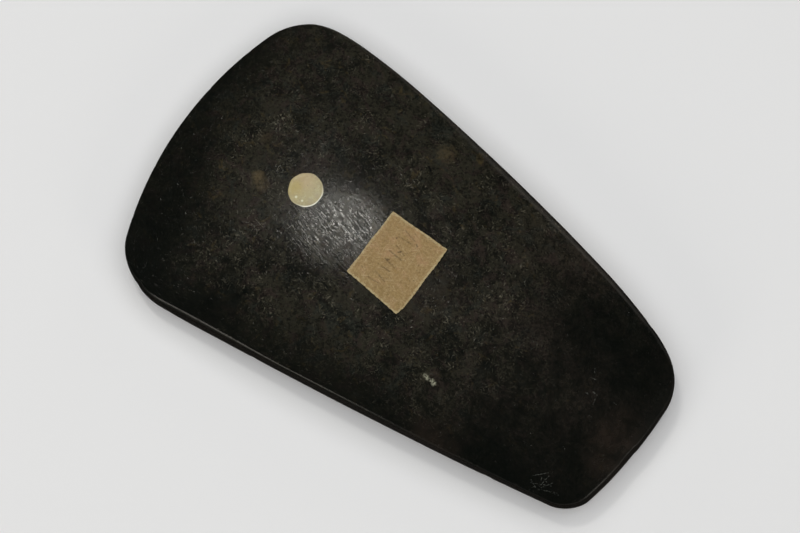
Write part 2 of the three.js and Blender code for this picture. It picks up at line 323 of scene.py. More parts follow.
def closed_skin(name, columns, top, bottom):
    """A mesh over a grid of columns by rings, closed round and to a point at each end."""
    count, rings = columns.shape[:2]
    points = np.concatenate([[top, bottom], columns.reshape(-1, 3)])
    index = 2 + np.arange(count * rings).reshape(count, rings)
    following = np.roll(index, -1, axis=0)
    quads = np.stack([index[:, :-1], index[:, 1:], following[:, 1:], following[:, :-1]], -1)
    quads = quads.reshape(-1, 4)
    head = np.stack([np.zeros(count, int), index[:, 0], following[:, 0]], -1)
    foot = np.stack([np.ones(count, int), following[:, -1], index[:, -1]], -1)
    mesh = bpy.data.meshes.new(name)
    mesh.from_pydata(points.tolist(), [], quads.tolist() + head.tolist() + foot.tolist())
    mesh.polygons.foreach_set("use_smooth", np.ones(len(mesh.polygons), bool))
    mesh.update()
    return mesh


def add_measure(mesh, name, values):
    """A number at each vertex, for a material to read."""
    mesh.attributes.new(name, "FLOAT", "POINT").data.foreach_set("value", values)


def add_piece(name, mesh, material, node):
    """An object at the origin that rides on the body and stands for a node."""
    piece = bpy.data.objects.new(name, mesh)
    bpy.context.scene.collection.objects.link(piece)
    mesh.materials.append(material)
    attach(piece, BODY)
    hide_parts(node)
    return piece


FACING_UP = "facing_up"         # the upward share of the blade's normal
FROM_RIM = "from_rim"           # millimetres in from the label's outline


# The blade

FACE_RINGS = 56
HEAD_RINGS = 8
FACET_RINGS = 10
FOOT_RINGS = 6
BEVEL_RINGS = 26
FLAT_RINGS = 14
LEAST_RING_STEP = 3 * MM
BUTT_ARRIS = 0.7 * MM           # rounding of the butt's head on the bowed side of the nick
WORN_BUTT_ARRIS = 1.1 * MM      # and on the straighter side of it
BUTT_START = 0.86               # where the butt's rounding comes in, as a share of the way there
BUTT_RUN = 0.1                  # and over what share of it
CORNER_ROUNDING = 2.3 * MM      # further rounding of the straighter side's head near the edge
CORNER_START = 15 * MM          # where along the blade that comes in
CORNER_RUN = 48 * MM            # and over what length
NICK_Y = 2.9 * MM
NICK_STEP = 0.25 * MM           # how far the outline steps in at the nick
NICK_ONSET = 1.2 * MM           # over what length it steps in
NICK_RUN = 14 * MM              # and over what length it comes back
REST_BAND = 1.5 * MM            # the relief fades over this height off the floor
RIPPLE_WAVES = (14 * MM, 45 * MM)       # shortest and longest wave of the ripple
ROUGH_WAVES = (1.2 * MM, 4 * MM)        # and of the chips' rough rims
RIPPLE_SEED = 3
ROUGH_SEED = 8
CHIP_RIM = 1.15                 # a chip's bowl ends at this share of its radius
CHIP_ROUGHNESS = 0.12           # give or take this share

# Chips and flake scars: x, y and z of the middle, radius and depth, in millimetres
CHIPS = (
    (-99.0, 3.4, 16.5, 2.2, 0.25),
    (-98.4, 7.5, 17.5, 4.0, 0.20),
    (-93.5, 11.0, 18.5, 6.5, 0.16),
    (-91.0, 3.5, 19.6, 5.0, 0.10),
    (77.6, 58.0, 14.5, 2.6, 0.50),
    (99.6, -14.0, 15.0, 1.2, 0.10),
    (98.7, 19.5, 15.0, 0.9, 0.08),
    (94.2, 39.0, 15.0, 1.1, 0.10),
    (95.9, -33.5, 15.0, 1.0, 0.08),
    (-78.0, -36.5, 16.0, 2.0, 0.25),
    (17.1, -34.4, 24.2, 1.0, 0.20),
    (-62.0, 41.0, 8.0, 2.6, 0.30),
    (30.0, 54.0, 7.5, 2.2, 0.28),
    (-20.0, -48.0, 7.5, 2.8, 0.30),
)


def waves(points, wavelengths, seed, count=18):
    """A sum of sines in seeded directions and phases, about -1 to 1."""
    draw = np.random.default_rng(seed)
    way = draw.normal(size=(count, 3))
    way /= np.linalg.norm(way, axis=1)[:, None]
    size = draw.uniform(*wavelengths, count)
    phase = draw.uniform(0, 2 * math.pi, count)
    turns = points @ (way / size[:, None] * 2 * math.pi).T + phase
    return np.sin(turns).sum(-1) / math.sqrt(count)


def grid_normals(grid):
    """Outward normals of a grid of columns by rings: the cross product of its two slopes."""
    round_slope = np.roll(grid, -1, axis=0) - np.roll(grid, 1, axis=0)
    down_slope = np.gradient(grid, axis=1)
    normals = np.cross(down_slope, round_slope)
    return normals / np.maximum(np.linalg.norm(normals, axis=-1, keepdims=True), 1e-12)


def head_rounding(form, x, y):
    """The facet head's rounding: between the sides' values, and on the butt crisp, then worn."""
    sizes = form.sizes
    side = (1 + form.across(x, y)) / 2
    straight = sizes.straight_rounding + CORNER_ROUNDING * smooth((x - CORNER_START) / CORNER_RUN)
    along_sides = sizes.bowed_rounding + (straight - sizes.bowed_rounding) * side
    on_butt = np.where(y < NICK_Y, BUTT_ARRIS, WORN_BUTT_ARRIS)
    by_butt = smooth((form.towards_butt(x) - BUTT_START) / BUTT_RUN)
    return along_sides + (on_butt - along_sides) * by_butt


def blade_grid(form, count):
    """Columns of points from the domed face over the side facet to the flat of the underside."""
    sizes = form.sizes
    directions = outline_directions(form, count)
    cosines, sines = np.cos(directions), np.sin(directions)

    def at(radius, height_of):
        """Radius and height pairs of a surface, for every direction."""
        return np.stack([radius, height_of(radius * cosines, radius * sines)], -1)

    radii = reach(directions, lambda x, y: form.outline(x, y) < 0)
    past_nick = radii * sines - NICK_Y
    stepped = (cosines < 0) & (past_nick > 0)
    nick = smooth(past_nick / NICK_ONSET) * np.maximum(1 - past_nick / NICK_RUN, 0)
    radii = radii - NICK_STEP * np.where(stepped, nick, 0)
    x, y = radii * cosines, radii * sines
    foot = at(radii, form.underside)
    head = at(radii - form.lean(x, y), form.face)
    height = head[:, 1] - foot[:, 1]
    head_round = np.minimum(head_rounding(form, x, y), ROUNDING_SHARE * height)
    foot_round = np.minimum(sizes.underside_rounding, ROUNDING_SHARE * height)
    below_head = head + (foot - head) * (head_round / height)[:, None]
    above_foot = foot + (head - foot) * (foot_round / height)[:, None]
    under_rim = at(radii - foot_round, form.underside)

    flat = reach(directions, lambda x, y: form.underside(x, y) == 0)
    bevel = reach(directions, lambda x, y: form.behind_edge(x, y) > sizes.bevel_length)
    meets = bevel < under_rim[:, 0] - LEAST_RING_STEP
    crease = np.where(meets, np.maximum(bevel, flat), (under_rim[:, 0] + flat) / 2)
    inner = np.minimum(flat, crease - LEAST_RING_STEP)

    rings = [at((head[:, 0] - head_round) * math.sin(t * math.pi / 2), form.face)
             for t in shares(FACE_RINGS)]
    rings += rounded_rings(rings[-1], head, below_head, HEAD_RINGS)
    rings += [below_head + (above_foot - below_head) * t for t in shares(FACET_RINGS)]
    rings += rounded_rings(above_foot, foot, under_rim, FOOT_RINGS)
    rings += [at(under_rim[:, 0] + (crease - under_rim[:, 0]) * t, form.underside)
              for t in shares(BEVEL_RINGS)]
    rings += [at(crease + (inner - crease) * t, form.underside) for t in shares(FLAT_RINGS)]
    out, up = np.moveaxis(np.stack(rings, 1), -1, 0)
    return np.stack([out * cosines[:, None], out * sines[:, None], up], -1)


def rounded_rings(start, corner, end, count):
    """Rings along quadratic curves from start to end, pulled to the corner."""
    return [(1 - t) ** 2 * start + 2 * t * (1 - t) * corner + t * t * end for t in shares(count)]


def shares(count):
    """Equal steps from the first above 0 up to 1."""
    return [step / count for step in range(1, count + 1)]


def relief(points, ripple):
    """Height over the smooth form: ripple of long waves, less a rough bowl at each chip."""
    height = ripple * waves(points, RIPPLE_WAVES, RIPPLE_SEED) / 2
    roughness = waves(points, ROUGH_WAVES, ROUGH_SEED)
    for x, y, z, radius, depth in CHIPS:
        away = np.linalg.norm(points - np.array([x, y, z]) * MM, axis=-1) / (radius * MM)
        bowl = smooth(CHIP_RIM - away + CHIP_ROUGHNESS * roughness)
        height -= depth * MM * bowl
    return height


def blade_mesh(sizes):
    """The blade's skin: its smooth form moved along its normals by the relief."""
    form = BladeForm(sizes)
    grid = blade_grid(form, sizes.columns)
    off_floor = smooth(grid[..., 2:] / REST_BAND)
    grid = grid + grid_normals(grid) * relief(grid, sizes.ripple_height)[..., None] * off_floor
    top = np.array([0, 0, grid[:, 0, 2].mean()])
    mesh = closed_skin("stone_blade_polished", grid, top, np.zeros(3))
    normals = np.empty(len(mesh.vertices) * 3)
    mesh.vertices.foreach_get("normal", normals)
    add_measure(mesh, FACING_UP, normals[2::3])
    return mesh


# The papers

PAPER_GAP = 0.08 * MM           # under a paper, over the smooth stone
STICKER_COLUMNS = 240
LABEL_COLUMNS = 720
PAPER_RINGS = 26
RIM_RINGS = 4
STICKER_RIM = 0.07 * MM         # height of the sticker's raised rim
RIM_START = 0.84                # where it rises, as a share of the radius
RIM_RUN = 0.1                   # and over what share
STICKER_FLATS = ((0.012, 5, 0.7), (0.008, 9, 0))    # size by radius, number round it, phase
BUBBLE_RIM = 1.2                # a bubble ends at this share of its radius
LABEL_CURL = 0.06 * MM          # height of the label's curled edges
CURL_WIDTH = 1.2 * MM
CORNER_LIFT = 0.6 * MM          # height of its lifted corner
CORNER_LIFT_REACH = 7 * MM

# Ripples of the label: height, stretch along and aside in millimetres, and phase of each
EDGE_RAGS = (0.07, 0.37, 0.29, 0, 1)
EDGE_BOWS = (0.10, 2.3, 1.9, 0, 2)
FACE_WAVES = (0.03, 3.4, 4.1, 1, 0)

# Bubbles under the sticker's film: x and y from its middle, radius and height, in millimetres
BUBBLES = (
    (1.3, 4.0, 0.55, 0.16), (-1.3, 3.9, 0.45, 0.13), (-4.9, 1.2, 0.8, 0.10),
    (2.4, -2.2, 1.4, 0.03),
)


def paper_skin(name, form, middle, directions, radii, top_over, thickness):
    """A closed sheet over the face: rings out over its upper side, round its edge and back below.

    A point lies at middle + share x radius along its direction, at the face's height plus top_over,
    and below it at the same height less the thickness, which falls to the edge as a half circle.
    """
    out = np.sin(np.arange(1, PAPER_RINGS + 1) / PAPER_RINGS * math.pi / 2)
    turn = np.arange(1, RIM_RINGS) / RIM_RINGS * math.pi
    shares = np.concatenate([out, np.ones(RIM_RINGS - 1), out[::-1]])
    below = np.concatenate([np.zeros(PAPER_RINGS), (1 - np.cos(turn)) / 2, np.ones(PAPER_RINGS)])
    proud = np.concatenate([np.zeros(PAPER_RINGS), np.sin(turn), np.zeros(PAPER_RINGS)])
    radius = radii[:, None] * shares + proud * thickness / 2
    x = middle[0] + radius * np.cos(directions)[:, None]
    y = middle[1] + radius * np.sin(directions)[:, None]
    top = form.face(x, y) + top_over(x, y)
    z = top - thickness * below
    centre_top = float(form.face(*np.array(middle)) + top_over(*np.array(middle)))
    grid = np.stack([x, y, z], -1)
    ends = [np.array([middle[0], middle[1], centre_top - drop]) for drop in (0, thickness)]
    return closed_skin(name, grid, *ends)


def sticker_mesh(blade, papers):
    """A round disc, cut by hand: its radius dips a little at five flats, its rim stands up."""
    form = BladeForm(blade)
    middle = (papers.sticker_x, papers.sticker_y)
    directions = np.arange(STICKER_COLUMNS) / STICKER_COLUMNS * 2 * math.pi
    flats = sum(size * np.cos(count * directions + phase) for size, count, phase in STICKER_FLATS)
    radii = papers.sticker_diameter / 2 * (1 - STICKER_FLATS[0][0] + flats)

    def top_over(x, y):
        """The lift, plus a rim and a bowl at each bubble, as smooth steps of distance."""
        away = np.hypot(x - middle[0], y - middle[1]) / (papers.sticker_diameter / 2)
        rim = STICKER_RIM * smooth((away - RIM_START) / RIM_RUN)
        height = papers.sticker_lift + rim
        for across_x, across_y, radius, rise in BUBBLES:
            near = np.hypot(x - middle[0] - across_x * MM, y - middle[1] - across_y * MM)
            height = height + rise * MM * smooth(BUBBLE_RIM - near / (radius * MM))
        return height

    return paper_skin("round_sticker_film", form, middle, directions, radii, top_over,
                      papers.sticker_lift - PAPER_GAP)


# Corners of the label's outline from its middle, as shares of its half length and half width
LABEL_CORNERS = ((1.02, 0.955), (0.96, -1.04), (-1.045, -1.04), (-1.005, 0.89), (-0.92, 1.13))


def outside_corners(corners, x, y):
    """Distance outside a polygon without dents: the largest distance outside any of its sides."""
    ends = np.roll(corners, -1, axis=0)
    along = (ends - corners) / np.linalg.norm(ends - corners, axis=1, keepdims=True)
    gaps = [(y - at[1]) * way[0] - (x - at[0]) * way[1] for at, way in zip(corners, along)]
    return np.maximum.reduce(gaps)


def ripples(x, y, height, along, aside, phase_x, phase_y):
    """The height times the sine of x over along and the sine of y over aside."""
    return height * MM * np.sin(x / (along * MM) + phase_x) * np.sin(y / (aside * MM) + phase_y)


def label_mesh(blade, papers):
    """A sheet between five corners, one of them torn, with rough edges and a lifted corner."""
    form = BladeForm(blade)
    middle = (papers.label_x, papers.label_y)
    half = np.array([papers.label_length, papers.label_width]) / 2
    corners = np.array(LABEL_CORNERS) * half

    def outside(x, y):
        """Distance outside the corners, plus the fine rags and slow bows of the edges."""
        edge = outside_corners(corners, x, y)
        return edge + ripples(x, y, *EDGE_RAGS) + ripples(x, y, *EDGE_BOWS)

    turns = [math.atan2(y, x) for x, y in corners]
    plain = np.linspace(-math.pi, math.pi, LABEL_COLUMNS - len(turns), endpoint=False)
    directions = np.sort(np.concatenate([plain, turns]))
    radii = reach(directions, lambda x, y: outside(x, y) < 0)

    def top_over(x, y):
        """The lift, shallow waves, a curled edge, and one corner raised as nearness squared."""
        along, aside = x - middle[0], y - middle[1]
        wave = ripples(along, aside, *FACE_WAVES)
        from_corner = np.hypot(along - corners[2][0], aside - corners[2][1])
        lifted = CORNER_LIFT * np.maximum(1 - from_corner / CORNER_LIFT_REACH, 0) ** 2
        curl = LABEL_CURL * smooth(1 + outside(along, aside) / CURL_WIDTH)
        return papers.label_lift + wave + lifted + curl

    mesh = paper_skin("paper_label_sheet", form, middle, directions, radii, top_over,
                      papers.label_lift - PAPER_GAP)
    points = np.empty(len(mesh.vertices) * 3)
    mesh.vertices.foreach_get("co", points)
    x, y, _ = points.reshape(-1, 3).T
    from_rim = -outside_corners(corners, x - middle[0], y - middle[1]) / MM
    add_measure(mesh, FROM_RIM, from_rim)
    return mesh


# Materials

# Places on the stone, in millimetres in plan
EDGE_CENTRE = (-33.5, -0.9)     # the middle of the cutting edge's arc
HALF_WIDTH = 48.5               # half the blade's width at its middle
WIDENING = 0.145                # its growth for each millimetre towards the edge
CROWN = (29.0, 2.5, 12.0, 10.0, 3.0)        # spot with the polish lines that mirror the key light
STICKER_AT = (47.9, -2.8)       # the sticker's middle, as in its settings

# Spots on the stone: x, y, radius and strength
RUSTY_SPOTS = (
    (-91.0, 2.5, 7.5, 0.36), (-91.5, 12.0, 7.5, 0.34), (-40.0, 47.0, 10.0, 0.4),
    (-6.0, 2.0, 12.0, 0.3),
)
YELLOW_SPOTS = (
    (64.9, 2.6, 1.8, 0.9), (62.5, 4.2, 2.4, 0.45), (71.0, -10.5, 2.0, 0.25),
    (15.6, -42.7, 3.0, 0.5),
)
# Painted shade: areas where the mottling and crystals are darkened
PAINTED_SHADE_AREAS = (
    (36.7, -19.7, 10.0, 0.55), (-60.0, -16.0, 16.0, 0.65), (-82.0, -22.0, 13.0, 0.55),
    (-50.0, 34.0, 14.0, 0.5), (-58.0, 21.0, 13.0, 0.5), (52.0, 47.0, 9.0, 0.6),
    (75.0, 30.0, 12.0, 0.45), (-78.0, 20.0, 10.0, 0.4), (66.0, -40.0, 16.0, 0.28),
    (-46.0, -35.0, 14.0, 0.2),
)

# Where crystals crowd: x, y and radius, and the ways that they lie, in radians
CRYSTAL_SPOTS = (
    (77.5, -6.6, 6.5), (69.0, -19.1, 5.5), (56.0, 16.0, 4.0), (35.0, 8.0, 5.0),
    (-30.0, -10.0, 7.0),
)
CRYSTAL_GAIN = 1.3
LATH_TURNS = (0.3, 0.95, 1.6, 2.2, 2.85)
POLISH_TURN = -0.25
FIBRE_TURNS = ((0.5, 3), (1.7, 9), (2.7, 15))       # and a seed for each way

# Strokes: x and y of both ends and half the width, in millimetres
STONE_SCRATCHES = (
    (-71.3, -6.7, -73.5, -7.3, 0.17), (-70.6, -10.2, -71.6, -8.7, 0.13),
    (-72.9, -1.6, -73.8, -1.7, 0.21), (-74.9, -3.1, -75.7, -3.2, 0.26),
    (-76.5, -3.3, -77.4, 1.1, 0.1), (-78.5, 4.3, -79.7, 4.4, 0.17),
    (-82.6, -4.5, -83.8, -4.5, 0.13), (-77.5, 35.2, -74.5, 33.8, 0.13),
    (-78.0, 34.4, -77.4, 31.1, 0.13), (-78.5, 34.0, -79.1, 29.1, 0.13),
    (-79.0, 34.4, -81.5, 30.5, 0.13), (-78.3, 35.3, -84.7, 32.4, 0.13),
    (-76.9, 35.2, -76.1, 38.0, 0.13), (-78.1, 31.2, -81.6, 31.8, 0.13),
    (-75.3, 34.9, -79.9, 32.5, 0.13), (-81.4, 33.8, -85.5, 32.7, 0.13),
    (-74.3, 32.6, -78.3, 28.6, 0.13), (-77.3, 18.4, -78.3, 18.7, 0.1),
    (-41.9, 42.8, -43.8, 43.4, 0.1), (59.9, 19.3, 57.9, 18.2, 0.11),
    (57.7, 18.1, 55.9, 17.8, 0.11), (55.7, 17.9, 54.6, 19.0, 0.11),
)
PAINT_MARK = ((-24.0, 26.6, -25.3, 26.9, 0.62), (-26.9, 26.8, -28.0, 27.1, 0.68))
DARK_SLITS = ((16.4, -34.0, 17.9, -34.9, 0.3),)
LABEL_STROKES = (               # rows in the place of the faded pencil
    (10.9, -10.6, 5.9, -9.4, 0.26), (11.6, -7.6, 6.6, -7.9, 0.22),
    (10.2, -4.4, 6.2, -3.2, 0.26), (11.4, -1.6, 6.0, -1.3, 0.26),
    (10.8, 1.5, 6.3, 2.4, 0.28), (11.9, 4.3, 7.0, 4.4, 0.24),
    (11.3, 7.0, 6.4, 8.3, 0.28), (12.0, 10.2, 7.6, 10.0, 0.22),
)
LABEL_DOTS = (
    (11.8, -6.7, 11.8, -6.7, 0.3), (9.6, 1.0, 10.2, 1.6, 0.3),
    (8.5, -3.0, 7.7, -3.5, 0.22), (4.8, -8.8, 4.1, -8.4, 0.22),
)
STROKE_REACH = 1.6              # a stroke fades out this many half widths from its line

# Lesser tints, as linear light
SLIT = (0.002, 0.002, 0.002)
CREAM_GREY = (0.31, 0.27, 0.16)
CREAM_PALE = (0.42, 0.39, 0.23)
PEACH = (0.43, 0.30, 0.16)
OLIVE = (0.36, 0.285, 0.085)
CREAM_SPECK = (0.16, 0.13, 0.08)
# Painted highlight on one side of the sticker's rim, and painted glints on two of its bubbles
PAINTED_RIM_HIGHLIGHT = (0.88, 0.88, 0.78)
PAINTED_BUBBLE_GLINT = (0.85, 0.87, 0.68)
TAN_SHADE = (0.21, 0.135, 0.055)
TAN_ROSE = (0.35, 0.21, 0.115)
TAN_FOOT = (0.20, 0.145, 0.055)
TAN_PALE = (0.36, 0.27, 0.14)
TAN_BROWN = (0.17, 0.105, 0.045)
TAN_SPECK = (0.07, 0.05, 0.025)
FIBRE = (0.44, 0.36, 0.22)
DOT = (0.05, 0.03, 0.013)
FRAYED = (0.47, 0.41, 0.24)
FLOOR_TONE = (0.755, 0.76, 0.77)


class Nodes:
    """A material or a world whose nodes are made and joined by short calls."""

    def __init__(self, owner):
        owner.use_nodes = True
        self.tree = owner.node_tree

    def add(self, kind, inputs=None, **settings):
        """A node with its settings and its inputs, each a value or another node's output."""
        node = self.tree.nodes.new(kind)
        for key, value in settings.items():
            setattr(node, key, value)
        for key, value in (inputs or {}).items():
            if isinstance(value, bpy.types.NodeSocket):
                self.tree.links.new(value, node.inputs[key])
            else:
                node.inputs[key].default_value = value
        return node

    def math(self, operation, first, second=0.0, third=0.0, **settings):
        """An operation on one to three numbers."""
        inputs = {0: first, 1: second, 2: third}
        return self.add("ShaderNodeMath", inputs, operation=operation, **settings).outputs[0]

    def vector(self, operation, inputs, output="Vector"):
        """An operation on vectors."""
        return self.add("ShaderNodeVectorMath", inputs, operation=operation).outputs[output]

    def times(self, first, second):
        """The product of two numbers."""
        return self.math("MULTIPLY", first, second)

    def scaled(self, value, by, plus):
        """A number times another, plus a third."""
        return self.math("MULTIPLY_ADD", value, by, plus)

    def largest(self, values):
        """The largest of some numbers."""
        return reduce(lambda first, second: self.math("MAXIMUM", first, second), values)

    def step(self, value, start, end, low=0.0, high=1.0):
        """A smooth step from low at start to high at end."""
        inputs = {"Value": value, "From Min": start, "From Max": end, "To Min": low, "To Max": high}
        return self.add("ShaderNodeMapRange", inputs,
                        interpolation_type="SMOOTHSTEP").outputs["Result"]


class Finish(Nodes):
    """A material with its colour so far."""

    def __init__(self, name, base=None):
        self.material = bpy.data.materials.new(name)
        super().__init__(self.material)
        self.place = self.add("ShaderNodeTexCoord").outputs["Object"]
        self.base = base

    def attribute(self, name):
        """A number that the mesh holds at each vertex."""
        return self.add("ShaderNodeAttribute", attribute_name=name).outputs["Fac"]

    def turned(self, turn=0.0, stretch=(1, 1, 1), centre=(0, 0, 0)):
        """Object coordinates in millimetres from a centre, turned about Z, then stretched."""
        moved = {"Vector": self.place, "Scale": (1 / MM,) * 3, "Location": [-v for v in centre]}
        spun = {"Vector": self.mapped(moved), "Rotation": (0, 0, -turn)}
        return self.mapped({"Vector": self.mapped(spun), "Scale": stretch})

    def mapped(self, inputs):
        """Coordinates scaled, turned and moved as the inputs say."""
        return self.add("ShaderNodeMapping", inputs, vector_type="POINT").outputs[0]

    def plan(self):
        """Two numbers: how far along the blade and how far aside, in millimetres."""
        return self.add("ShaderNodeSeparateXYZ", {0: self.turned()}).outputs[:2]

    def noise(self, size, detail=3.0, rough=0.55, vector=None, warp=0.0, centre=(0, 0, 0)):
        """Noise with grains about size millimetres long."""
        inputs = {"Vector": vector or self.turned(centre=centre), "Scale": 1 / size,
                  "Detail": detail, "Roughness": rough, "Distortion": warp}
        return self.add("ShaderNodeTexNoise", inputs).outputs["Fac"]

    def mix(self, share_of, first, second):
        """A colour between two colours."""
        inputs = {0: share_of, 6: opaque(first), 7: opaque(second)}
        return self.add("ShaderNodeMix", inputs, data_type="RGBA").outputs[2]

    def coat(self, tint, on, amount):
        """Lay a tint over the colour so far: its share is on times amount."""
        self.base = self.mix(self.times(on, amount), self.base, tint)

    def cloud(self, tint, amount, start, end, *noise, **how):
        """Lay a tint where noise is high: it comes in between start and end."""
        self.coat(tint, self.step(self.noise(*noise, **how), start, end), amount)

    def away(self, x, y):
        """Distance from a point in plan, in millimetres."""
        flat = self.turned(centre=(x, y, 0), stretch=(1, 1, 0))
        return self.vector("LENGTH", {0: flat}, "Value")

    def spot(self, x, y, radius, soft, uneven):
        """1 inside a circle in plan and 0 outside it, with a soft uneven rim."""
        away = self.math("SUBTRACT", self.away(x, y), uneven)
        away = self.scaled(self.noise(radius * 0.5), uneven * 2, away)
        return self.step(away, radius - soft, radius + soft, 1.0, 0.0)

    def strokes(self, marks, wobble):
        """1 on short strokes in plan, shaken by noise of wobble millimetres."""
        flat = self.turned(stretch=(1, 1, 0))
        shake = self.add("ShaderNodeTexNoise", {"Vector": flat, "Scale": 0.9, "Detail": 2.0})
        shaken = {0: shake.outputs["Color"], 1: (wobble, wobble, 0), 2: flat}
        place = self.vector("MULTIPLY_ADD", shaken)
        return self.largest([self.stroke(place, *mark) for mark in marks])

    def stroke(self, place, x, y, to_x, to_y, half_width):
        """1 on a stroke, fading out with the distance to its nearest point over its half width."""
        along = (to_x - x, to_y - y, 0)
        offset = self.vector("SUBTRACT", {0: place, 1: (x, y, 0)})
        covered = self.vector("DOT_PRODUCT", {0: offset, 1: along}, "Value")
        run = max(along[0] ** 2 + along[1] ** 2, TINY)
        part = self.math("DIVIDE", covered, run, use_clamp=True)
        nearest = self.vector("SCALE", {0: along, "Scale": part})
        away = self.vector("DISTANCE", {0: offset, 1: nearest}, "Value")
        ratio = self.math("DIVIDE", away, half_width)
        return self.math("SUBTRACT", STROKE_REACH, ratio, use_clamp=True)

    def bumps(self, *layers):
        """Bumps on bumps, each a height from 0 to 1 and its distance in millimetres."""
        below = {}
        for height, distance in layers:
            inputs = {"Height": height, "Distance": distance * MM, "Strength": 1.0, **below}
            below = {"Normal": self.add("ShaderNodeBump", inputs).outputs["Normal"]}
        return below["Normal"]

    def finish(self, rough, normal, specular):
        """Join colour, roughness and normal to the shader, and set its specular level."""
        inputs = self.tree.nodes["Principled BSDF"].inputs
        for name, value in (("Base Color", self.base), ("Roughness", rough), ("Normal", normal)):
            self.tree.links.new(value, inputs[name])
        inputs["Specular IOR Level"].default_value = specular
        return self.material


def opaque(value):
    """A colour property as four numbers, and anything else as it is."""
    if isinstance(value, bpy.types.NodeSocket):
        return value
    return (*value, 1.0)


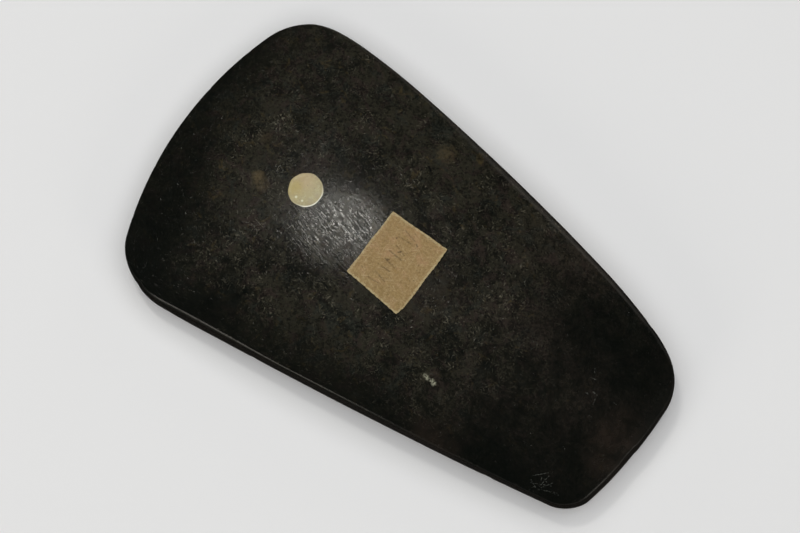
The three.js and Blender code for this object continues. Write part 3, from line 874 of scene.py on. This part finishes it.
def stone_finish(colours):
    """Dark polished stone: patches, mottling, laths in five directions, pits and scratches, with
    painted shade that darkens it towards the sides, the cutting edge and the butt and in listed
    areas.
    """
    f = Finish("polished_stone")
    along, aside = f.plan()
    from_arc = f.away(*EDGE_CENTRE)
    tones = f.noise(24, 2, 0.5)
    patches = f.noise(30, 3, 0.6)
    mottle = f.noise(6, 4, 0.6, warp=0.5)
    grains = f.noise(1.1, 4, 0.7, warp=0.4)

    # Painted shade: the mottling and crystals are darkened towards the sides, the cutting edge and
    # the butt, and in the listed areas
    across = f.math("DIVIDE", aside, f.scaled(along, WIDENING, HALF_WIDTH))
    painted_shade = f.step(f.scaled(tones, 0.3, across), 0.74, 1.16, 1.0, 0.2)
    by_edge = f.scaled(aside, 0.2, f.scaled(tones, 14, from_arc))
    painted_shade = f.times(painted_shade, f.step(by_edge, 113, 136, 1.0, 0.2))
    painted_shade = f.times(painted_shade, f.step(f.scaled(tones, 30, along), -80, -15, 0.22, 1.0))
    for x, y, radius, amount in PAINTED_SHADE_AREAS:
        kept = f.spot(x, y, radius, radius * 0.85, radius * 0.45)
        painted_shade = f.times(painted_shade, f.scaled(kept, -amount, 1.0))

    ground = f.times(f.step(patches, 0.35, 0.7), 0.45)
    ground = f.scaled(f.step(mottle, 0.28, 0.72), 0.75, ground)
    ground = f.scaled(f.step(f.noise(2.4, 3, 0.6, warp=0.8), 0.36, 0.68), 0.35, ground)
    ground = f.times(f.times(ground, painted_shade), f.step(grains, 0.32, 0.68, 0.42, 1.4))
    tint = colours.stone_olive
    for size, start, other in ((5.5, 0.48, colours.stone_plum), (7.0, 0.52, colours.stone_green),
                               (4.0, 0.58, colours.stone_yellow)):
        spread = f.noise(size, 4, 0.65, warp=0.8, centre=(31 * size, 17, 5))
        tint = f.mix(f.step(spread, start, start + 0.12), tint, other)
    by_butt = f.times(f.step(along, -10, -60), f.step(patches, 0.4, 0.6, 0.2, 0.75))
    f.base = f.mix(ground, colours.stone_dark, f.mix(by_butt, tint, colours.stone_plum))
    for spots, tint, soft, uneven, through in (
            (RUSTY_SPOTS, colours.stone_brown, 0.5, 0.5, f.step(mottle, 0.3, 0.6, 0.3, 1.0)),
            (YELLOW_SPOTS, colours.stone_stain, 0.8, 0.6, f.step(grains, 0.35, 0.55, 0.2, 1.0))):
        for x, y, radius, amount in spots:
            on = f.spot(x, y, radius, radius * soft, radius * uneven)
            f.coat(tint, f.times(on, through), amount)

    pale, dim = [], []
    for index, turn in enumerate(LATH_TURNS):
        lath = f.noise(0.8, 1.5, 0.5, f.turned(turn, (0.5, 1.6, 1.2), (40 * index, 13, 0)))
        where = f.step(f.noise(3.5, 2, 0.5, centre=(9, 50 * index, 2)), 0.44, 0.6)
        pale.append(f.times(f.step(lath, 0.62, 0.74), where))
        dim.append(f.times(f.step(lath, 0.38, 0.28), where))
    laths = f.largest(pale)
    crowds = [f.times(f.spot(x, y, radius, radius * 0.8, radius), CRYSTAL_GAIN)
              for x, y, radius in CRYSTAL_SPOTS]
    crowd = f.step(f.noise(8, 4, 0.65, centre=(70, 9, 3)), 0.42, 0.66, 0.15, 1.0)
    crowd = f.times(f.largest([crowd, *crowds]), f.step(along, -70, -12, 0.3, 1.0))
    crowd = f.times(crowd, f.step(from_arc, 104, 124, 1.0, 0.3))
    f.coat(colours.crystal, f.times(laths, f.times(crowd, painted_shade)), 0.85)
    f.coat(colours.stone_dark, f.largest(dim), 0.3)

    facing = f.attribute(FACING_UP)
    upward = f.step(facing, 0.6, 0.9)
    steep = f.times(f.step(facing, 0.75, 0.3), f.step(f.noise(1.8, 4, 0.7), 0.4, 0.62))
    f.coat(colours.stone_brown, steep, 0.4)
    marks = f.times(f.strokes(STONE_SCRATCHES, 0.3), f.step(f.noise(0.5, 2, 0.6), 0.47, 0.62))
    marks = f.times(marks, upward)
    f.coat(colours.scratch, marks, 0.25)
    paint = f.times(f.strokes(PAINT_MARK, 0.8), f.step(f.noise(0.6, 2, 0.6), 0.38, 0.6))
    f.coat(colours.paint, f.times(paint, upward), 0.9)
    f.coat(SLIT, f.strokes(DARK_SLITS, 0.4), 0.9)

    pits = f.step(f.noise(1.6, 3, 0.7), 0.26, 0.36)
    crown = f.spot(*CROWN)
    polish = f.step(f.noise(0.55, 2, 0.5, f.turned(POLISH_TURN, (0.15, 1, 1))), 0.36, 0.64)
    normal = f.bumps((f.times(polish, f.scaled(crown, 0.65, 0.35)), 0.026),
                     (f.noise(2.2, 3, 0.5), 0.012), (pits, 0.05), (laths, 0.02))
    dull = f.noise(0.45, 2, 0.5, f.turned(POLISH_TURN, (0.12, 1, 1), (7, 3, 0)))
    rough = f.step(f.noise(0.8, 4, 0.7), 0.25, 0.75, 0.11, 0.21)
    for more, amount in ((f.times(f.step(dull, 0.48, 0.56), crown), 0.24),
                         (f.math("SUBTRACT", 1.0, pits), 0.2), (f.step(along, -90, -98), 0.18),
                         (marks, 0.2), (f.math("SUBTRACT", 1.0, upward), 0.12)):
        rough = f.scaled(more, amount, rough)
    return f.finish(rough, normal, 0.34)


def sticker_finish(colours):
    """Cream paper under a clear film: warm and olive tints, faint specks, a painted highlight on
    one side of its raised rim and painted glints on two bubbles.
    """
    f = Finish("sticker_film", colours.cream)
    x, y = STICKER_AT
    f.cloud(CREAM_GREY, 0.75, 0.42, 0.62, 3.0, 3, 0.6)
    f.cloud(CREAM_PALE, 0.6, 0.5, 0.64, 1.1, 4, 0.7)
    f.coat(PEACH, f.spot(x + 3.0, y - 3.0, 4.0, 3.0, 1.0), 0.42)
    f.coat(OLIVE, f.spot(x + 3.8, y + 1.6, 3.0, 2.0, 1.5), 0.72)
    f.cloud(CREAM_SPECK, 0.45, 0.62, 0.68, 0.6, 2, 0.6)
    # Painted highlight on one side of the rim
    rim = f.times(f.step(f.away(x, y), 5.75, 5.95), f.spot(x - 5.0, y + 2.2, 5.0, 3.0, 0.5))
    f.coat(PAINTED_RIM_HIGHLIGHT, rim, 0.8)
    # Painted glints on the first two bubbles
    for across_x, across_y, radius, _ in BUBBLES[:2]:
        f.coat(PAINTED_BUBBLE_GLINT, f.spot(x + across_x, y + across_y, radius * 0.7, 0.3, 0.4), 0.7)
    normal = f.bumps((f.noise(0.6, 3, 0.6), 0.03), (f.noise(3.0, 2, 0.5), 0.10))
    rough = f.step(f.noise(1.2, 3, 0.6), 0.3, 0.7, 0.28, 0.45)
    return f.finish(rough, normal, 0.5)


def label_finish(colours):
    """Tan rag paper: cloudy tone, pale fibres, dark specks, faded pencil strokes, worn edges."""
    f = Finish("label_paper", colours.tan)
    _, aside = f.plan()
    f.cloud(TAN_SHADE, 0.6, 0.35, 0.68, 7, 4, 0.6)
    f.cloud(TAN_ROSE, 0.5, 0.48, 0.66, 5, 3, 0.6, centre=(20, 3, 0))
    f.coat(TAN_FOOT, f.step(aside, 3.0, 14.5), 0.4)
    f.cloud(TAN_PALE, 0.55, 0.42, 0.62, 0.8, 4, 0.75)
    f.cloud(TAN_BROWN, 0.5, 0.5, 0.66, 1.3, 4, 0.75, centre=(3, 8, 1))
    ways = [f.turned(turn, (0.16, 1.4, 1), (seed, seed, 0)) for turn, seed in FIBRE_TURNS]
    fibres = f.largest([f.step(f.noise(0.5, 1, 0.5, way), 0.66, 0.74) for way in ways])
    f.coat(FIBRE, fibres, 0.45)
    f.cloud(TAN_SPECK, 0.5, 0.64, 0.70, 0.7, 2, 0.6, centre=(5, 5, 0))
    faded = f.step(f.noise(0.7, 3, 0.7), 0.40, 0.62, 0.25, 1.0)
    f.coat(colours.pencil, f.times(f.strokes(LABEL_STROKES, 0.6), faded), 0.75)
    f.coat(DOT, f.strokes(LABEL_DOTS, 0.5), 0.6)
    frayed = f.scaled(f.noise(1.1, 3, 0.7), -1.6, f.attribute(FROM_RIM))
    broken = f.step(f.noise(0.6, 3, 0.7, centre=(2, 9, 4)), 0.36, 0.56)
    f.coat(FRAYED, f.times(f.step(frayed, 0.1, -0.5), broken), 0.6)
    normal = f.bumps((f.noise(0.4, 4, 0.7), 0.05), (fibres, 0.03))
    rough = f.step(f.noise(1.5, 3, 0.6), 0.3, 0.7, 0.62, 0.82)
    return f.finish(rough, normal, 0.3)


def floor_finish(colours):
    """A pale matt floor with a faint tone."""
    f = Finish("pale_floor", colours.floor)
    f.cloud(FLOOR_TONE, 0.02, 0.3, 0.7, 90, 2, 0.5)
    rough = f.step(f.noise(30, 2, 0.5), 0.3, 0.7, 0.85, 0.9)
    return f.finish(rough, f.bumps((f.noise(0.6, 2, 0.5), 0.01)), 0.1)


# Stage

FLOOR_HALF = 3.0
SENSOR = 36.0                   # width in millimetres
CLIP_START = 0.01
HORIZON = 0.29                  # strength of the world there
ZENITH = 0.02                   # and overhead
WORLD_FADE = 0.5                # from the one to the other, as a share of the way up
GLINT = (29.6, -1.1, 26.3)      # point of the face that mirrors the key light, in millimetres
WARM = (1.0, 0.93, 0.83)
KEY_TINT = (1.0, 0.97, 0.9)

# Softboxes: distance from what they light, and size
OVERHEAD_BOX = (1.6, 2.2)
KEY_BOX = (1.0, 0.07)
SIDE_BOX = (1.5, 0.6)
OVERHEAD_POWER = 29.3
SIDE_RISE = 0.45                # a side light's height over its distance in plan
SIDE_LIGHTS = (0.35, 0.35, 1.5, 1.1)    # power by the bowed side, edge, straighter side and butt


def add_floor(colours):
    """A square floor, level with the flat that the blade lies on."""
    corners = [(x * FLOOR_HALF, y * FLOOR_HALF, 0) for x, y in ((-1, -1), (1, -1), (1, 1), (-1, 1))]
    mesh = bpy.data.meshes.new("floor")
    mesh.from_pydata(corners, [], [(0, 1, 2, 3)])
    mesh.materials.append(floor_finish(colours))
    floor = bpy.data.objects.new("floor", mesh)
    bpy.context.scene.collection.objects.link(floor)
    floor.visible_glossy = False
    return floor


def add_aimed(name, data, target, towards, distance):
    """An upright object with its data, at a distance from its target and facing it."""
    back = Vector(towards).normalized()
    right = Vector((0, 0, 1)).cross(back)
    right = right.normalized() if right.length > TINY else Vector((1, 0, 0))
    turn = Matrix((right, back.cross(right), back)).transposed().to_4x4()
    thing = bpy.data.objects.new(name, data)
    thing.matrix_world = Matrix.Translation(Vector(target) + back * distance) @ turn
    bpy.context.scene.collection.objects.link(thing)
    return thing


def add_camera(stage):
    """A camera with the distance, lens and angle of the photographed view."""
    flat = math.cos(stage.elevation)
    towards = (math.sin(stage.azimuth) * flat, -math.cos(stage.azimuth) * flat,
               math.sin(stage.elevation))
    data = bpy.data.cameras.new("view")
    data.lens, data.sensor_width, data.clip_start = stage.lens, SENSOR, CLIP_START
    camera = add_aimed("view", data, stage.aim, towards, stage.distance)
    bpy.context.scene.camera = camera
    return camera


def add_softbox(name, target, towards, box, power, tint=(1, 1, 1), glossy=True):
    """A square soft light that faces its target, its box a distance and a size."""
    distance, size = box
    data = bpy.data.lights.new(name, "AREA")
    data.shape, data.size, data.energy, data.color = "SQUARE", size, power, tint
    lamp = add_aimed(name, data, target, towards, distance)
    lamp.visible_glossy = glossy
    return lamp


def studio_world():
    """A world that is soft at the horizon and dark overhead and below."""
    world = bpy.data.worlds.new("studio")
    sky = Nodes(world)
    place = sky.add("ShaderNodeTexCoord").outputs["Generated"]
    height = sky.math("ABSOLUTE", sky.add("ShaderNodeSeparateXYZ", {0: place}).outputs["Z"])
    strength = sky.step(height, 0.0, WORLD_FADE, HORIZON, ZENITH)
    inputs = sky.tree.nodes["Background"].inputs
    inputs["Color"].default_value = opaque(WARM)
    sky.tree.links.new(strength, inputs["Strength"])
    return world


def mirror_direction(form, x, y, towards):
    """The direction that a point of the face mirrors the camera to: 2 (n . v) n - v."""
    step = 1 * MM
    here = form.face(np.array(x), np.array(y))
    slope_x = (form.face(np.array(x + step), np.array(y)) - here) / step
    slope_y = (form.face(np.array(x), np.array(y + step)) - here) / step
    normal = Vector((-float(slope_x), -float(slope_y), 1)).normalized()
    return 2 * normal.dot(towards) * normal - towards


# Operators


class AdzeAddBlade(bpy.types.Operator):
    """Add the ground and polished stone blade"""
    bl_idname = "mesh.adze_add_blade"
    bl_label = "Blade"

    def execute(self, context):
        scene = context.scene
        add_piece("blade_polished", blade_mesh(scene.adze_blade), stone_finish(scene.adze_colours),
                  "stone_blade")
        return {"FINISHED"}


class AdzeAddSticker(bpy.types.Operator):
    """Add the round sticker near the cutting edge"""
    bl_idname = "mesh.adze_add_sticker"
    bl_label = "Round sticker"

    def execute(self, context):
        scene = context.scene
        add_piece("sticker_film", sticker_mesh(scene.adze_blade, scene.adze_papers),
                  sticker_finish(scene.adze_colours), "round_sticker")
        return {"FINISHED"}


class AdzeAddLabel(bpy.types.Operator):
    """Add the paper label near the middle"""
    bl_idname = "mesh.adze_add_label"
    bl_label = "Paper label"

    def execute(self, context):
        scene = context.scene
        add_piece("label_sheet", label_mesh(scene.adze_blade, scene.adze_papers),
                  label_finish(scene.adze_colours), "paper_label")
        return {"FINISHED"}


class AdzeAddStage(bpy.types.Operator):
    """Add the floor, the soft lights and the camera"""
    bl_idname = "scene.adze_add_stage"
    bl_label = "Stage"

    def execute(self, context):
        scene, stage = context.scene, context.scene.adze_stage
        add_floor(scene.adze_colours)
        camera = add_camera(stage)
        aim = Vector(stage.aim)
        glint = Vector(GLINT) * MM
        towards = (camera.matrix_world.translation - glint).normalized()
        mirrored = mirror_direction(BladeForm(scene.adze_blade), glint.x, glint.y, towards)
        add_softbox("overhead", aim, (0, 0, 1), OVERHEAD_BOX, OVERHEAD_POWER, glossy=False)
        add_softbox("key", glint, mirrored, KEY_BOX, stage.key_power, KEY_TINT)
        for turn, part in enumerate(SIDE_LIGHTS):
            angle = stage.azimuth + math.radians(45 + 90 * turn)
            low = (math.cos(angle), math.sin(angle), SIDE_RISE)
            add_softbox("side_%d" % turn, aim, low, SIDE_BOX, stage.side_power * part, WARM)
        scene.world = studio_world()
        scene.view_settings.view_transform = "Standard"
        return {"FINISHED"}


class AdzePanel(bpy.types.Panel):
    """Buttons that add each piece of the adze"""
    bl_idname = "VIEW3D_PT_adze"
    bl_label = "Stone adze"
    bl_space_type = "VIEW_3D"
    bl_region_type = "UI"
    bl_category = "Adze"

    def draw(self, context):
        column = self.layout.column()
        for operator in OPERATORS:
            column.operator(operator.bl_idname)


OPERATORS = (AdzeAddBlade, AdzeAddSticker, AdzeAddLabel, AdzeAddStage)
SETTINGS = {"adze_blade": AdzeBladeSettings, "adze_papers": AdzePaperSettings,
            "adze_colours": AdzeColourSettings, "adze_stage": AdzeStageSettings}


def register():
    for kind in (*SETTINGS.values(), *OPERATORS, AdzePanel):
        bpy.utils.register_class(kind)
    for name, kind in SETTINGS.items():
        setattr(bpy.types.Scene, name, PointerProperty(type=kind))


def unregister():
    for name in SETTINGS:
        delattr(bpy.types.Scene, name)
    for kind in (AdzePanel, *reversed(OPERATORS), *reversed(tuple(SETTINGS.values()))):
        bpy.utils.unregister_class(kind)


def plain(bounds):
    """Two corners of a box as plain lists."""
    return [[float(value) for value in corner] for corner in bounds]


def main():
    register()
    bpy.ops.mesh.adze_add_blade()
    bpy.ops.mesh.adze_add_sticker()
    bpy.ops.mesh.adze_add_label()
    bpy.ops.scene.adze_add_stage()
    bpy.context.view_layer.update()


if __name__ == "__main__":
    main()
